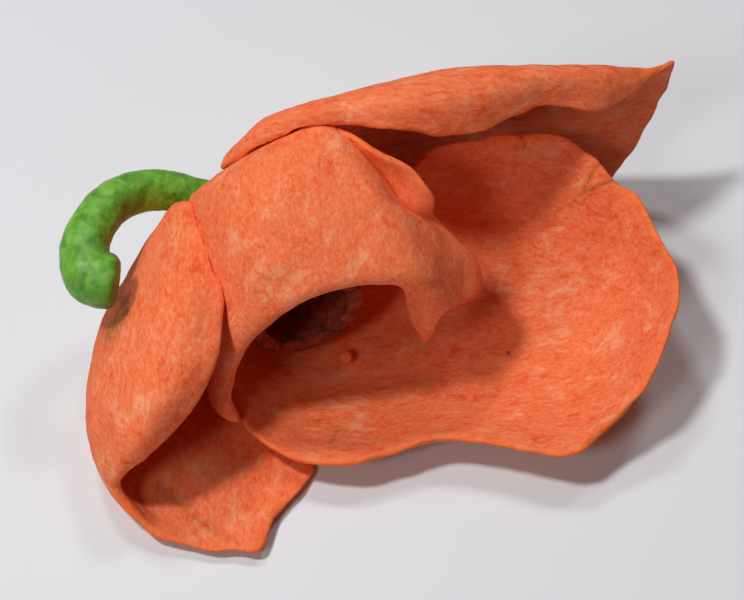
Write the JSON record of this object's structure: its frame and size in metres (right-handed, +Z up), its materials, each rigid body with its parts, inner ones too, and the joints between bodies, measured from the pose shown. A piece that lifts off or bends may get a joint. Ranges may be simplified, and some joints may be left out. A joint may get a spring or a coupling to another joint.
{
  "type": "ceramic tulip flower",
  "caption": "Hand-built ceramic tulip lying on its side, with an open dish petal, an arched hood petal and a short hooked green stem.",
  "frame": {"origin": "the middle of the underside of the flower's box, on the surface that it lies on", "axes": "+X runs from the hooked stem to the petal tips, +Z is up, and -Y is the open side with the arch"},
  "size_m": [0.101, 0.0804, 0.0456],
  "materials": {
    "petal_clay": "matt orange underglaze brushed over unpolished clay",
    "throat_clay": "matt dark red-brown, thinly brushed",
    "stem_clay": "satin green with brown showing through"
  },
  "bodies": {
    "root": {"outer_petal_left": "petal_clay", "inner_petal_top": "petal_clay", "outer_petal_back": "petal_clay", "inner_petal_open": "petal_clay", "throat_cup": "throat_clay", "clay_nub": "petal_clay", "stem": "stem_clay"}
  },
  "joints": []
}
